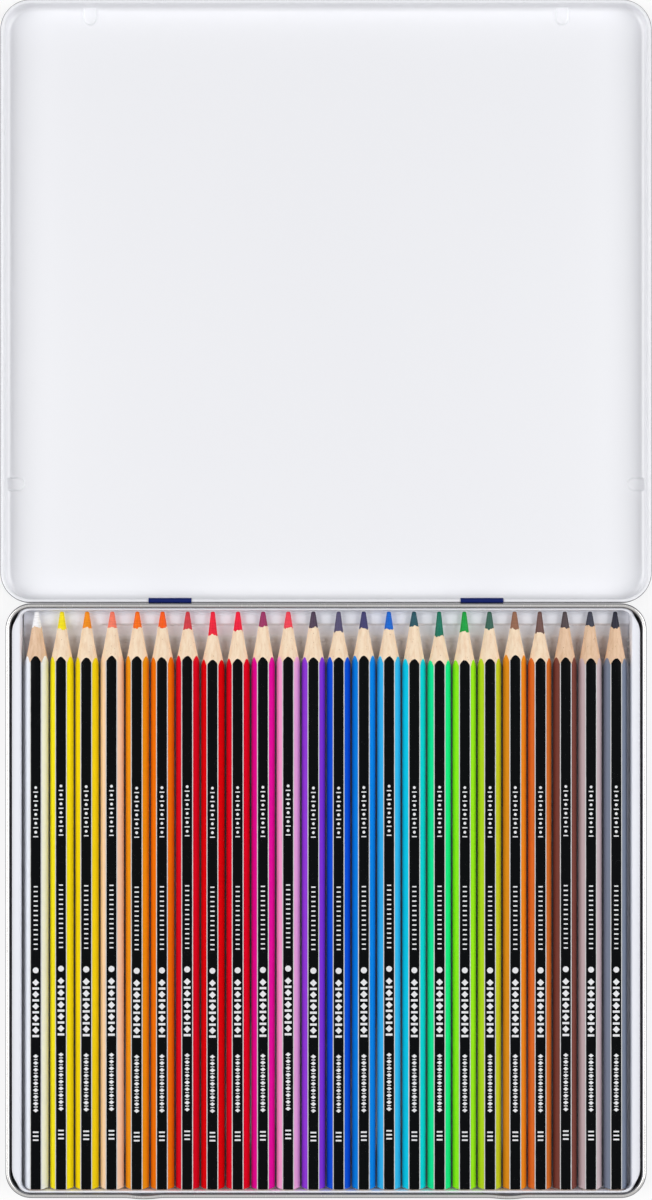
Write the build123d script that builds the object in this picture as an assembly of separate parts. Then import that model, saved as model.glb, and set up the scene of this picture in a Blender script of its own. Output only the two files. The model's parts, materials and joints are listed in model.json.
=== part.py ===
from build123d import *
import os
from math import atan, cos, degrees, radians, sin, sqrt, tan

# A flat hinged pencil tin lying open, in millimetres. The base holds a formed tray with one row
# of hexagonal pencils, and the lid lies beside it with its inside up. The origin is the middle
# of the base's underside, +X is to the right, +Y runs from the base to the lid and +Z is up.

# Pencils: the tray, the base and the lid are sized round their row
pencil_length = 175.0
pencil_across_corners = 7.2
pencil_gap = 0.44
core_diameter = 2.8
core_bond_gap = 0.02
core_exposed_length = 5.2
core_tip_diameter = 1.25
cone_mouth_diameter = 3.4
cone_length = 9.0
pencil_end_bevel = 0.35
pencil_colours = [
    "white", "yellow", "golden_yellow", "peach", "light_orange", "orange", "crimson", "red",
    "carmine", "magenta", "pink", "violet", "blue", "mid_blue", "light_blue", "turquoise",
    "sea_green", "lime", "yellow_green", "ochre", "red_brown", "brown", "pinkish_grey",
    "slate_grey",
]

# Insert tray
pencil_end_clearance = 0.4
pencil_side_clearance = 1.1
tray_sheet = 0.4
tray_side_flange = 2.58
tray_end_flange = 0.49
tray_top_below_rim = 1.0
tray_cavity_corner_radius = 2.3
tray_foot_relief = 0.65
tray_draft_angle = 2.0
ridge_height = 2.1
ridge_clearance = 0.15
ridge_end_slope = 60.0
ridge_end_gap = 6.0
tip_ledge_height = 2.2
tip_ledge_length = 4.7
tip_step_height = 1.3
tip_step_length = 4.2

# Base
tin_sheet = 0.3
tray_side_clearance = 0.5
tray_end_clearance = 0.25
rim_above_pencils = 0.665
base_corner_radius = 7.8
base_roll_diameter = 1.36
base_foot_radius = 1.2

# Lid
lid_side_clearance = 0.6
lid_front_clearance = 0.6
lid_headroom = 2.1
lid_corner_growth = 1.4
lid_roll_diameter = 1.2
lid_foot_radius = 1.9

# Hinge: the lid's rear roll turns inside two tongues of the base
tongue_width = 13.0
tongue_spacing = 94.6
tongue_sheet = 0.25
hinge_clearance = 0.1
tongue_side_clearance = 1.0
window_clearance = 0.15
tongue_mouth_angle = 60.0

# Shallow pips, pressed up into the lid's panel beside its walls
pip_height = 0.6
pip_foot_radius = 2.2
pip_top_radius = 1.6
pip_inset = 3.95
front_pip_spacing = 144.0
side_pip_from_hinge = 35.0

# Snap bulges on the base's front rim
bulge_spacing = 110.0
bulge_width = 12.0
bulge_depth = 0.4

# Flats that stand for a full round, a foot and a pencil's turned forms
roll_flat_count = 8
foot_flat_count = 3
turned_flat_count = 12

# Derived places of the pencils and the tray's hollow
pencil_count = len(pencil_colours)
pencil_pitch = pencil_across_corners + pencil_gap
corner_radius_of_pencil = pencil_across_corners / 2
flat_radius_of_pencil = corner_radius_of_pencil * cos(radians(30))
row_half_width = (pencil_count - 1) * pencil_pitch / 2 + corner_radius_of_pencil
tray_inner_x = row_half_width + pencil_side_clearance
tray_inner_y = pencil_length / 2 + pencil_end_clearance
tray_floor_z = tin_sheet + tray_sheet
tray_flange_x = tray_inner_x + tray_side_flange
tray_flange_y = tray_inner_y + tray_end_flange
pencil_z = tray_floor_z + flat_radius_of_pencil
pencil_top_z = pencil_z + flat_radius_of_pencil
ledge_start_y = tray_inner_y - tip_ledge_length
step_start_y = ledge_start_y - tip_step_length

# Derived places of the base
base_roll_radius = base_roll_diameter / 2
base_inner_x = tray_flange_x + tray_side_clearance
base_inner_y = tray_flange_y + tray_end_clearance
base_half_width = base_inner_x + base_roll_diameter
base_half_length = base_inner_y + base_roll_diameter
base_inner_corner = base_corner_radius - base_roll_diameter
base_height = pencil_top_z + rim_above_pencils
base_roll_z = base_height - base_roll_radius
tray_top_z = base_height - tray_top_below_rim
tray_foot_bevel = base_foot_radius - tray_foot_relief

# Derived places of the lid
lid_roll_radius = lid_roll_diameter / 2
shut_height = base_height + lid_headroom + tin_sheet
pivot_y = base_half_length + hinge_clearance + lid_roll_radius
pivot_z = shut_height / 2
lid_inner_x = base_half_width + lid_side_clearance
lid_inner_corner = base_corner_radius + lid_corner_growth - lid_roll_diameter
lid_rear_inner_y = pivot_y + lid_roll_radius
lid_front_inner_y = 2 * pivot_y + base_half_length + lid_front_clearance
lid_inner_y = (lid_front_inner_y - lid_rear_inner_y) / 2
lid_centre_y = (lid_front_inner_y + lid_rear_inner_y) / 2


def rim_path(half_x, half_y, radius):
    """Return the closed path round a rounded rectangle, from the middle of its right side."""
    flat_x = half_x - radius
    flat_y = half_y - radius
    with BuildLine() as path:
        Line((half_x, 0), (half_x, flat_y))
        CenterArc((flat_x, flat_y), radius, 0, 90)
        Line((flat_x, half_y), (-flat_x, half_y))
        CenterArc((-flat_x, flat_y), radius, 90, 90)
        Line((-half_x, flat_y), (-half_x, -flat_y))
        CenterArc((-flat_x, -flat_y), radius, 180, 90)
        Line((-flat_x, -half_y), (flat_x, -half_y))
        CenterArc((flat_x, -flat_y), radius, 270, 90)
        Line((half_x, -flat_y), (half_x, 0))
    return path.wire()


def arc_points(centre, radius, start_angle, end_angle, flats):
    """Return points along an arc, which is drawn with the given number of flats."""
    step = (end_angle - start_angle) / flats
    angles = [radians(start_angle + n * step) for n in range(flats + 1)]
    return [(centre[0] + radius * cos(a), centre[1] + radius * sin(a)) for a in angles]


def pan(half_x, half_y, corner, foot_radius, roll_z, roll_radius):
    """Return a drawn sheet pan with a rolled rim, standing on z = 0 with its mouth up.

    half_x, half_y and corner are those of the wall's inside, and foot_radius is that of its
    outer skin.
    """
    outer_x = half_x + tin_sheet
    foot = arc_points((outer_x - foot_radius, foot_radius), foot_radius, 0, -90, foot_flat_count)
    with BuildSketch(Plane.XZ) as section:
        with BuildLine():
            Polyline((outer_x, roll_z), *foot)
            offset(amount=tin_sheet, side=Side.RIGHT, kind=Kind.INTERSECTION, closed=True)
        make_face()
        with Locations((half_x + roll_radius, roll_z)):
            RegularPolygon(roll_radius, roll_flat_count, False, rotation=180 / roll_flat_count)
    wall = sweep(section.sketch, path=rim_path(half_x, half_y, corner))
    inset = foot_radius - tin_sheet
    floor_plan = RectangleRounded(2 * (half_x - inset), 2 * (half_y - inset), corner - inset)
    return wall + extrude(floor_plan, tin_sheet)


def base_pan():
    """Return the base's drawn pan with its rolled rim."""
    return pan(
        base_inner_x,
        base_inner_y,
        base_inner_corner,
        base_foot_radius,
        base_roll_z,
        base_roll_radius,
    )


def hinge_tongue(centre_x):
    """Return one tongue: a leg down from the base's roll and a curl round the lid's roll."""
    inner = lid_roll_radius + hinge_clearance
    outer = inner + tongue_sheet
    reach = 2 * outer
    with BuildSketch(Plane.YZ) as section:
        with Locations((pivot_y, pivot_z)):
            Circle(outer)
            Circle(inner, mode=Mode.SUBTRACT)
            with BuildLine():
                Polyline(
                    (0, 0),
                    (-reach, 0),
                    (-reach, reach),
                    (-reach / tan(radians(tongue_mouth_angle)), reach),
                    close=True,
                )
            make_face(mode=Mode.SUBTRACT)
        with Locations((pivot_y - inner - tongue_sheet / 2, (pivot_z + base_roll_z) / 2)):
            Rectangle(tongue_sheet, base_roll_z - pivot_z)
    tongue = extrude(section.sketch, tongue_width / 2, both=True)
    return Pos(centre_x, 0, 0) * tongue


def snap_bulge(centre_x):
    """Return one shallow outward bulge of the base's front roll."""
    line_y = base_half_length - base_roll_radius
    tip_y = base_half_length + bulge_depth
    with BuildSketch() as plan:
        with BuildLine():
            ThreePointArc((-bulge_width / 2, -line_y), (0, -tip_y), (bulge_width / 2, -line_y))
            Line((bulge_width / 2, -line_y), (-bulge_width / 2, -line_y))
        make_face()
    bulge = extrude(plan.sketch, base_roll_radius / 2, both=True)
    return Pos(centre_x, 0, base_roll_z) * bulge


def base_tin():
    """Return the base with its two hinge tongues and two snap bulges."""
    base = base_pan()
    for side in (-1, 1):
        base += hinge_tongue(side * tongue_spacing / 2)
        base += snap_bulge(side * bulge_spacing / 2)
    return base


def hinge_window(centre_x):
    """Return what is cut from the lid's rear wall round one tongue, up to the lid's roll."""
    height = lid_roll_radius + hinge_clearance + tongue_sheet + window_clearance
    width = tongue_width + 2 * tongue_side_clearance
    deep = lid_roll_radius + tin_sheet
    block = Pos(centre_x, pivot_y + deep / 2, pivot_z - height / 2) * Box(width, deep, height)
    roll = Pos(centre_x, pivot_y, pivot_z) * Rot(0, 90, 0) * Cylinder(lid_roll_radius, 2 * width)
    return block - roll


def turned_taper(foot_radius, top_radius, height):
    """Return a tapered round form, drawn with flats, that stands on z = 0."""
    taper = degrees(atan((foot_radius - top_radius) / height))
    return extrude(RegularPolygon(foot_radius, turned_flat_count, False), height, taper=taper)


def pressed_pip(x, y):
    """Return one pip's raised form and the hollow that is pressed in behind it."""
    top_z = tin_sheet + pip_height
    slope = (pip_foot_radius - pip_top_radius) / top_z
    hollow_foot = pip_foot_radius - tin_sheet * sqrt(1 + slope**2)
    raised = turned_taper(pip_foot_radius, pip_top_radius, top_z)
    hollow = turned_taper(hollow_foot, hollow_foot - slope * pip_height, pip_height)
    return Pos(x, y, 0) * raised, Pos(x, y, 0) * hollow


def lid():
    """Return the lid, open and inside up, with its hinge windows and pressed pips."""
    cover = Pos(0, lid_centre_y, 0) * pan(
        lid_inner_x, lid_inner_y, lid_inner_corner, lid_foot_radius, pivot_z, lid_roll_radius
    )
    pip_x = lid_inner_x + tin_sheet - pip_inset
    front_y = lid_front_inner_y + tin_sheet - pip_inset
    side_y = lid_rear_inner_y + side_pip_from_hinge
    for side in (-1, 1):
        cover -= hinge_window(side * tongue_spacing / 2)
        for place in ((side * front_pip_spacing / 2, front_y), (side * pip_x, side_y)):
            raised, hollow = pressed_pip(*place)
            cover = cover + raised - hollow
    return cover


def tray_block(half_x, half_y, corner, bottom_z):
    """Return a drafted block that has the given half sizes at the tray's top."""
    plan = Pos(0, 0, tray_top_z) * RectangleRounded(2 * half_x, 2 * half_y, corner)
    return extrude(plan, bottom_z - tray_top_z, taper=tray_draft_angle)


def ridge(bottom_width, bottom_z, top_z, start_y, end_y):
    """Return one ridge between two grooves, with sloped flanks and a sloped tip end."""
    height = top_z - bottom_z
    flank = height / tan(radians(ridge_end_slope))
    with BuildSketch(Plane.XZ.offset(-end_y)) as section:
        Trapezoid(bottom_width, height, ridge_end_slope, align=(Align.CENTER, Align.MIN))
    bar = Pos(0, 0, bottom_z) * extrude(section.sketch, end_y - start_y)
    with BuildSketch(Plane.YZ) as tip:
        with BuildLine():
            Polyline((end_y, bottom_z), (end_y, top_z), (end_y - flank, top_z), close=True)
        make_face()
    return bar - extrude(tip.sketch, bottom_width, both=True)


def tip_block(start_y, bottom_z, top_z):
    """Return a block across the tray, from start_y to past the wall at the pencils' tips."""
    return Pos(0, start_y, bottom_z) * Box(
        2 * base_half_width,
        base_half_length - start_y,
        top_z - bottom_z,
        align=(Align.CENTER, Align.MIN, Align.MIN),
    )


def ridge_places():
    """Return where the ridges stand: between the pencils and outside both end pencils."""
    first = -pencil_count * pencil_pitch / 2
    return [Pos(first + n * pencil_pitch, 0, 0) for n in range(pencil_count + 1)]


def insert_tray():
    """Return the formed tray: flange, drafted walls, grooves, ridges and a stepped tip ledge."""
    outer = tray_block(
        tray_inner_x + tray_sheet,
        tray_inner_y + tray_sheet,
        tray_cavity_corner_radius + tray_sheet,
        tin_sheet,
    )
    outer = chamfer(outer.edges().group_by(Axis.Z)[0], tray_foot_bevel)
    cavity = tray_block(tray_inner_x, tray_inner_y, tray_cavity_corner_radius, tray_floor_z)
    inside = tray_block(tray_inner_x, tray_inner_y, tray_cavity_corner_radius, tin_sheet)
    flange_plan = Pos(0, 0, tray_top_z) * RectangleRounded(
        2 * tray_flange_x,
        2 * tray_flange_y,
        base_inner_corner,
    )
    tray = outer + extrude(flange_plan, -tray_sheet) - cavity

    groove_half = corner_radius_of_pencil / 2 + ridge_clearance / sin(radians(ridge_end_slope))
    ridge_width = pencil_pitch - 2 * groove_half
    ridge_top_z = tray_floor_z + ridge_height
    ridge_end_y = step_start_y - ridge_end_gap
    sheet_shift = tray_sheet * tan(radians(ridge_end_slope / 2))
    raised = ridge(ridge_width, tray_floor_z, ridge_top_z, -base_half_length, ridge_end_y)
    hollow = ridge(
        ridge_width - 2 * sheet_shift,
        tin_sheet,
        ridge_top_z - tray_sheet,
        -base_half_length,
        ridge_end_y - sheet_shift,
    )
    raised_parts = [place * raised for place in ridge_places()]
    hollow_parts = [place * hollow for place in ridge_places()]
    for start_y, top_z in ((step_start_y, tip_step_height), (ledge_start_y, tip_ledge_height)):
        raised_parts.append(tip_block(start_y, tray_floor_z, top_z))
        hollow_parts.append(tip_block(start_y + tray_sheet, tin_sheet, top_z - tray_sheet))
    tray = tray + [part & inside for part in raised_parts]
    return tray - [part & inside for part in hollow_parts]


def round_bar(radius, start_y, end_y):
    """Return a round bar along +Y, drawn with flats."""
    with BuildSketch(Plane.XZ.offset(-start_y)) as end:
        RegularPolygon(radius, turned_flat_count, False)
    return extrude(end.sketch, start_y - end_y)


def sharpened_end(start_radius, end_radius, start_y, end_y):
    """Return a tapered round end along +Y, drawn with flats."""
    lying = turned_taper(start_radius, end_radius, end_y - start_y)
    return Pos(0, start_y, 0) * Rot(-90, 0, 0) * lying


def pencil_casing():
    """Return one hexagonal casing along +Y, coned at the tip and bored for its core."""
    back_y = -pencil_length / 2
    mouth_y = pencil_length / 2 - core_exposed_length
    with BuildSketch(Plane.XZ.offset(-back_y)) as end:
        RegularPolygon(corner_radius_of_pencil, 6)
    stick = extrude(end.sketch, back_y - mouth_y)
    stick = chamfer(stick.edges().group_by(Axis.Y)[0], pencil_end_bevel)
    mouth_radius = cone_mouth_diameter / 2
    slope = (corner_radius_of_pencil - mouth_radius) / cone_length
    clear_radius = pencil_across_corners
    cone_start_y = mouth_y - (clear_radius - mouth_radius) / slope
    cone = sharpened_end(clear_radius, mouth_radius, cone_start_y, mouth_y)
    bore = round_bar(core_diameter / 2 + core_bond_gap, 2 * back_y, -2 * back_y)
    return (stick & (cone + round_bar(clear_radius, back_y, cone_start_y))) - bore


def pencil_core():
    """Return one coloured core along +Y with its sharpened, slightly blunt tip."""
    mouth_y = pencil_length / 2 - core_exposed_length
    bar = round_bar(core_diameter / 2, -pencil_length / 2, mouth_y)
    return bar + sharpened_end(
        core_diameter / 2, core_tip_diameter / 2, mouth_y, pencil_length / 2
    )


def write(shape, node):
    """Write one piece under its node's name."""
    export_step(shape, f"parts/{node}.step")


os.makedirs("parts", exist_ok=True)
write(base_tin(), "base_tin")
write(lid(), "lid")
write(insert_tray(), "insert_tray")
casing = pencil_casing()
core = pencil_core()
for number, colour in enumerate(pencil_colours, start=1):
    seat = Pos((number - (pencil_count + 1) / 2) * pencil_pitch, 0, pencil_z)
    write(seat * casing, f"pencil_{number:02d}_{colour}_casing")
    write(seat * core, f"pencil_{number:02d}_{colour}_core")
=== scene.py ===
"""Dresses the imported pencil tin: smooth tin, tray and pencils, their finishes, light and camera.

Sizes are in millimetres until a mesh is made, and the shared frame is in metres.
"""
import json
import logging
import math
import random
from collections.abc import Callable, Sequence
from dataclasses import dataclass, field
from enum import Enum, IntEnum

import bpy
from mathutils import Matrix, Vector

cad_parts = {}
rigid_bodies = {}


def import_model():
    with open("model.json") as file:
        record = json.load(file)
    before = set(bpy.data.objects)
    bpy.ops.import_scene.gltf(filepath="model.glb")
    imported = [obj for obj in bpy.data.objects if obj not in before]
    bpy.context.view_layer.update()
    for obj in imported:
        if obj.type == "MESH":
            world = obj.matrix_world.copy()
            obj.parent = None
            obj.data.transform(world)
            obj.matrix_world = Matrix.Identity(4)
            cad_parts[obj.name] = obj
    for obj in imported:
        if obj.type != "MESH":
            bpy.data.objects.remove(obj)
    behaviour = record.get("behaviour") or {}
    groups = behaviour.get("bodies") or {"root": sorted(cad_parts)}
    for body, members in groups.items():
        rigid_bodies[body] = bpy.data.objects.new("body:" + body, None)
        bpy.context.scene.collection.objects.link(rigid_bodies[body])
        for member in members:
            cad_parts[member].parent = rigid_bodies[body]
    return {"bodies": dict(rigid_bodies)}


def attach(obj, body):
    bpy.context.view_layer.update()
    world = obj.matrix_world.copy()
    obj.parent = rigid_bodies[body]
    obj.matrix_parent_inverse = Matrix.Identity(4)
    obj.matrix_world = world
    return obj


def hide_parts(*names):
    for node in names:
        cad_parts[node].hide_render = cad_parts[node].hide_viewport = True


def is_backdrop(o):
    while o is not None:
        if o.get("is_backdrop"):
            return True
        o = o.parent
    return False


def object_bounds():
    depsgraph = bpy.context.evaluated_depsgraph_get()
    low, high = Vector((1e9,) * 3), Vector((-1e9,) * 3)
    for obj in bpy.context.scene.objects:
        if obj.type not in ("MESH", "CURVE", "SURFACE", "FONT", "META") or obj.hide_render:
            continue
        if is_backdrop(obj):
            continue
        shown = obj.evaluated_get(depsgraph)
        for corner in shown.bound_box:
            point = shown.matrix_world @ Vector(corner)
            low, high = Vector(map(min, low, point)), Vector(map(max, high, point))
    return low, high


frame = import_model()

cad_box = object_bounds()

Material = bpy.types.Material
Node = bpy.types.Node
Piece = bpy.types.Object
Socket = bpy.types.NodeSocket
Tree = bpy.types.NodeTree
Colour = tuple[float, float, float]
Point = tuple[float, float, float]
Flat = tuple[float, float]
MM = 0.001
PITCH = 7.64
HINGE_X = 47.3
log = logging.getLogger("pencil_tin")


class Side(Enum):
    """The four straight sides of a rim, in the order in which the rim runs."""

    RIGHT = 0
    REAR = 1
    LEFT = 2
    FRONT = 3


class TinPaint(IntEnum):
    """The finishes of the base and the lid, in the order of a piece's materials."""

    INSIDE = 0
    OUTSIDE = 1
    # The last finish is dark steel as painted shade, for the rolls' flanks and the base's inner
    # wall.
    BARE = 2


class CasingPaint(IntEnum):
    """The finishes of a pencil's casing, in the order of its materials."""

    LACQUER = 0
    WOOD = 1


class MarkShape(Enum):
    """The small foil forms that are printed on a barrel."""

    BAR = "bar"
    LOZENGE = "lozenge"
    DOT = "dot"


def srgb(red: int, green: int, blue: int) -> Colour:
    """Turn a display colour, whose numbers run from 0 to 255, into linear light."""
    shares = (value / 255 for value in (red, green, blue))
    return tuple(s / 12.92 if s <= 0.04045 else ((s + 0.055) / 1.055) ** 2.4 for s in shares)


def smooth_step(low: float, high: float, value: float) -> float:
    """Ease from 0 at low to 1 at high."""
    share = min(1.0, max(0.0, (value - low) / (high - low)))
    return share * share * (3 - 2 * share)


def toned(colour: Colour, share: float) -> Colour:
    """Return a colour with its light scaled by a share."""
    return tuple(share * c for c in colour)


# Node trees


class Wire:
    """A node's output that turns Python arithmetic into Math nodes."""

    def __init__(self, recipe: "Recipe", output: Socket) -> None:
        """Wrap one output of a recipe's tree."""
        self.recipe = recipe
        self.output = output

    def math(self, operation: str, *values: "Wire | float") -> "Wire":
        """Add a Math node.

        Args:
            operation: The node's operation.
            values: The operands, this wire among them.

        Returns:
            The result.
        """
        sockets = dict(enumerate(values))
        node = self.recipe.node("ShaderNodeMath", {"operation": operation}, sockets)
        return Wire(self.recipe, node.outputs[0])

    def __add__(self, other: "Wire | float") -> "Wire":
        """Add."""
        return self.math("ADD", self, other)

    __radd__ = __add__

    def __sub__(self, other: "Wire | float") -> "Wire":
        """Subtract."""
        return self.math("SUBTRACT", self, other)

    def __rsub__(self, other: float) -> "Wire":
        """Subtract this from a number."""
        return self.math("SUBTRACT", other, self)

    def __mul__(self, other: "Wire | float") -> "Wire":
        """Multiply."""
        return self.math("MULTIPLY", self, other)

    __rmul__ = __mul__

    def __truediv__(self, other: "Wire | float") -> "Wire":
        """Divide."""
        return self.math("DIVIDE", self, other)

    def __mod__(self, other: float) -> "Wire":
        """Take the floored remainder."""
        return self.math("FLOORED_MODULO", self, other)

    def __abs__(self) -> "Wire":
        """Drop the sign."""
        return self.math("ABSOLUTE", self)

    def __round__(self) -> "Wire":
        """Go to the nearest whole number."""
        return self.math("ROUND", self)

    def low(self, other: "Wire | float", blend: float = 0.0) -> "Wire":
        """Take the smaller value, with a rounded meeting if blend is given."""
        return self.math("SMOOTH_MIN", self, other, blend)

    def high(self, other: "Wire | float", blend: float = 0.0) -> "Wire":
        """Take the larger value, with a rounded meeting if blend is given."""
        return self.math("SMOOTH_MAX", self, other, blend)

    def ease(self, low: float, high: float) -> "Wire":
        """Ease from 0 at low to 1 at high.

        Args:
            low: Where the result is 0.
            high: Where the result is 1. It may be the lower of the two.

        Returns:
            The eased value, which stays 0 or 1 beyond them.
        """
        flip = high < low
        settings = {"interpolation_type": "SMOOTHSTEP"}
        sockets = {
            "Value": self,
            "From Min": min(low, high),
            "From Max": max(low, high),
            "To Min": 1.0 if flip else 0.0,
            "To Max": 0.0 if flip else 1.0,
        }
        node = self.recipe.node("ShaderNodeMapRange", settings, sockets)
        return Wire(self.recipe, node.outputs["Result"])


class Recipe:
    """A node tree while it is written."""

    def __init__(self, tree: Tree) -> None:
        """Start on an empty tree."""
        self.tree = tree
        tree.nodes.clear()

    def node(
        self,
        kind: str,
        settings: dict[str, object] | None = None,
        sockets: dict[str | int, object] | None = None,
    ) -> Node:
        """Add one node.

        Args:
            kind: The node's type.
            settings: Its properties, which are set first.
            sockets: The values or links of its inputs.

        Returns:
            The node.
        """
        made = self.tree.nodes.new(kind)
        for key, value in (settings or {}).items():
            setattr(made, key, value)
        for key, value in (sockets or {}).items():
            self.feed(made.inputs[key], value)
        return made

    def feed(self, socket: Socket, value: object) -> None:
        """Link or set one input.

        Args:
            socket: The input.
            value: A wire, an output, a node for its first output, a number or a tuple.
        """
        if isinstance(value, Wire):
            self.tree.links.new(value.output, socket)
        elif isinstance(value, Socket):
            self.tree.links.new(value, socket)
        elif isinstance(value, Node):
            self.tree.links.new(value.outputs[0], socket)
        elif socket.type == "RGBA" and len(value) == 3:
            socket.default_value = (*value, 1.0)
        else:
            socket.default_value = value

    def wire(self, kind: str, output: str | int, sockets: dict[str | int, object]) -> Wire:
        """Add a node with these inputs and wrap one of its outputs."""
        return Wire(self, self.node(kind, None, sockets).outputs[output])

    def axes(self, vector: object) -> list[Wire]:
        """Split a vector into its three numbers."""
        node = self.node("ShaderNodeSeparateXYZ", None, {0: vector})
        return [Wire(self, output) for output in node.outputs]

    def mix(self, share: Wire | float, first: object, second: object) -> Wire:
        """Mix two colours or wires, with this share of the second."""
        colours = {0: share, 6: first, 7: second}
        return Wire(self, self.node("ShaderNodeMix", {"data_type": "RGBA"}, colours).outputs[2])


class Paint(Recipe):
    """A material's tree, with the patterns that the finishes share."""

    def __init__(self, name: str) -> None:
        """Make the material.

        Args:
            name: The material's name.
        """
        self.material = bpy.data.materials.new(name)
        self.material.use_nodes = True
        super().__init__(self.material.node_tree)
        self.place = self.node("ShaderNodeTexCoord").outputs["Object"]

    def stretched(self, scale: Point) -> Socket:
        """Scale the object's coordinates, in cycles per metre."""
        node = self.node("ShaderNodeMapping", None, {"Vector": self.place, "Scale": scale})
        return node.outputs["Vector"]

    def noise(self, scale: Point, detail: float = 2.0, rough: float = 0.5) -> Wire:
        """Return soft noise from 0 to 1.

        Args:
            scale: Cycles per metre along each axis.
            detail: How many finer layers it has.
            rough: How strong they are.

        Returns:
            The noise.
        """
        sockets = {
            "Vector": self.stretched(scale), "Scale": 1.0, "Detail": detail, "Roughness": rough,
        }
        return self.wire("ShaderNodeTexNoise", "Fac", sockets)

    def specks(self, scale: Point, size: float) -> Wire:
        """Return 1 in small specks, whose size is a share of their spacing, and 0 outside."""
        sockets = {"Vector": self.stretched(scale), "Scale": 1.0}
        return self.wire("ShaderNodeTexVoronoi", "Distance", sockets).ease(size, size / 2)

    def bump(self, height: Wire, depth_mm: float) -> Wire:
        """Turn a height from 0 to 1 into a normal."""
        sockets = {"Height": height, "Distance": depth_mm * MM, "Strength": 1.0}
        return self.wire("ShaderNodeBump", "Normal", sockets)

    def surface(self, **sockets: object) -> Material:
        """Close the material with a Principled surface.

        Args:
            sockets: Values by socket name, with underscores for spaces.

        Returns:
            The finished material.
        """
        named = {key.replace("_", " "): value for key, value in sockets.items()}
        shader = self.node("ShaderNodeBsdfPrincipled", None, named)
        self.node("ShaderNodeOutputMaterial", None, {"Surface": shader})
        return self.material


# Finishes. A pattern's scale is in cycles per metre along each axis, and a depth in millimetres.


@dataclass(frozen=True)
class Tinplate:
    """Bright tinplate with a fine drawn grain."""

    tint: Colour = (0.52, 0.51, 0.50)
    cloud_tone: float = 0.88
    cloud_scale: Point = (70, 70, 70)
    grain_scale: Point = (2500, 160, 900)
    grain_depth: float = 0.004
    roughness: float = 0.21
    grain_roughness: float = 0.10

    def material(self) -> Material:
        """Build the material.

        Returns:
            The finished material.
        """
        paint = Paint("bright_tinplate")
        grain = paint.noise(self.grain_scale, detail=3.0, rough=0.6)
        cloud = paint.noise(self.cloud_scale)
        return paint.surface(
            Base_Color=paint.mix(cloud, self.tint, toned(self.tint, self.cloud_tone)),
            Metallic=1.0,
            Roughness=grain * self.grain_roughness + self.roughness,
            Normal=paint.bump(grain, self.grain_depth),
        )


@dataclass(frozen=True)
class PaintedShadeSteel:
    """Dark steel that paints shade. On a rolled rim's outer flank it stands for the shading line
    along the tin's edge. On the base's inner wall it stands for the deep shade in the gap beside
    the tray.
    """

    tint: Colour = (0.20, 0.20, 0.21)
    cloud_tone: float = 0.8
    cloud_scale: Point = (160, 160, 160)
    cloud_depth: float = 0.004
    roughness: float = 0.32
    cloud_roughness: float = 0.15

    def material(self) -> Material:
        """Build the material.

        Returns:
            The finished material.
        """
        paint = Paint("dull_steel")
        cloud = paint.noise(self.cloud_scale, detail=3.0)
        return paint.surface(
            Base_Color=paint.mix(cloud, self.tint, toned(self.tint, self.cloud_tone)),
            Metallic=1.0,
            Roughness=cloud * self.cloud_roughness + self.roughness,
            Normal=paint.bump(cloud, self.cloud_depth),
        )


@dataclass(frozen=True)
class WhiteLacquer:
    """Smooth white lacquer on tin, with the faint waviness of rolled sheet."""

    tint: Colour = (0.87, 0.875, 0.905)
    shade: Colour = (0.845, 0.85, 0.885)
    cloud_scale: Point = (14, 9, 14)
    wave_scale: Point = (22, 7, 22)
    peel_scale: Point = (900, 900, 900)
    peel_share: float = 0.15
    wave_depth: float = 0.02
    roughness: float = 0.26
    cloud_roughness: float = 0.08
    coat: float = 0.35
    coat_roughness: float = 0.12

    def material(self) -> Material:
        """Build the material.

        Returns:
            The finished material.
        """
        paint = Paint("white_lacquer")
        cloud = paint.noise(self.cloud_scale)
        peel = paint.noise(self.peel_scale, detail=1.0)
        wave = paint.noise(self.wave_scale, detail=1.0)
        return paint.surface(
            Base_Color=paint.mix(cloud, self.tint, self.shade),
            Roughness=cloud * self.cloud_roughness + self.roughness,
            Normal=paint.bump(peel * self.peel_share + wave, self.wave_depth),
            Coat_Weight=self.coat,
            Coat_Roughness=self.coat_roughness,
        )


@dataclass(frozen=True)
class NavyLacquer:
    """Dark blue lacquer on the outside of the tin, with faint smudges from handling."""

    tint: Colour = (0.005, 0.012, 0.095)
    cloud_tone: float = 1.5
    cloud_scale: Point = (40, 40, 40)
    smudge_scale: Point = (25, 40, 25)
    smudge_range: Flat = (0.42, 0.75)
    peel_scale: Point = (160, 160, 160)
    peel_depth: float = 0.002
    roughness: float = 0.28
    smudge_roughness: float = 0.03
    specular: float = 0.1

    def material(self) -> Material:
        """Build the material.

        Returns:
            The finished material.
        """
        paint = Paint("navy_lacquer")
        cloud = paint.noise(self.cloud_scale, detail=3.0)
        smudge = paint.noise(self.smudge_scale).ease(*self.smudge_range)
        return paint.surface(
            Base_Color=paint.mix(cloud, self.tint, toned(self.tint, self.cloud_tone)),
            Roughness=smudge * self.smudge_roughness + self.roughness,
            Normal=paint.bump(paint.noise(self.peel_scale, detail=1.0), self.peel_depth),
            Specular_IOR_Level=self.specular,
        )


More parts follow.
